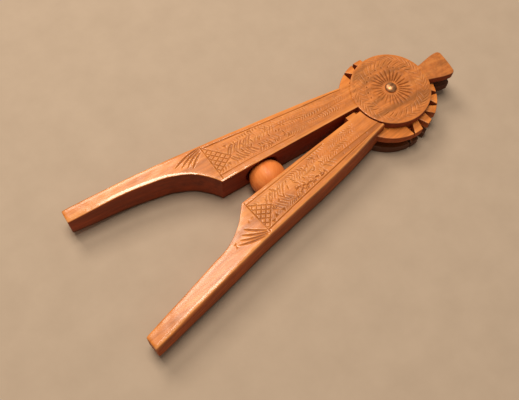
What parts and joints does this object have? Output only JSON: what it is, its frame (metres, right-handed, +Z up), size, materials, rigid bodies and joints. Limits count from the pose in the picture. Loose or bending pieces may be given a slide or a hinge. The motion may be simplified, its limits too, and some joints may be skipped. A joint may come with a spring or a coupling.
{
  "type": "lever nutcracker",
  "caption": "Carved wooden nutcracker: two levers on an interleaved disc hinge with a toothed rim, and a wooden ball between the jaws.",
  "frame": {"origin": "on the hinge pin's axis, at the underside that the nutcracker lies on", "axes": "+X from the grips to the tail tab along the midline between the arms, +Y towards the left arm, +Z up along the pin towards its domed head"},
  "size_m": [0.2172, 0.0862, 0.0228],
  "materials": {
    "carved_wood": "satin",
    "ball_wood": "satin",
    "pin_metal": "satin"
  },
  "bodies": {
    "left_arm": {"left_arm": "carved_wood", "hinge_pin": "pin_metal", "pin_washer": "pin_metal"},
    "right_arm": {"right_arm": "carved_wood"},
    "nut_ball": {"nut_ball": "ball_wood"}
  },
  "joints": [
    {"name": "arm_hinge", "type": "hinge", "parent": "left_arm", "child": "right_arm", "pos_m": [0, 0, 0.0105], "axis": [0, 0, 1], "range_deg": [-2.8, 115]},
    {"name": "ball_centring", "type": "hinge", "parent": "left_arm", "child": "nut_ball", "pos_m": [0, 0, 0.0105], "axis": [0, 0, 1], "range_deg": [-1.5, 58]}
  ],
  "couplings": [
    {"joint": "ball_centring", "follows": "arm_hinge", "ratio": 0.5}
  ]
}
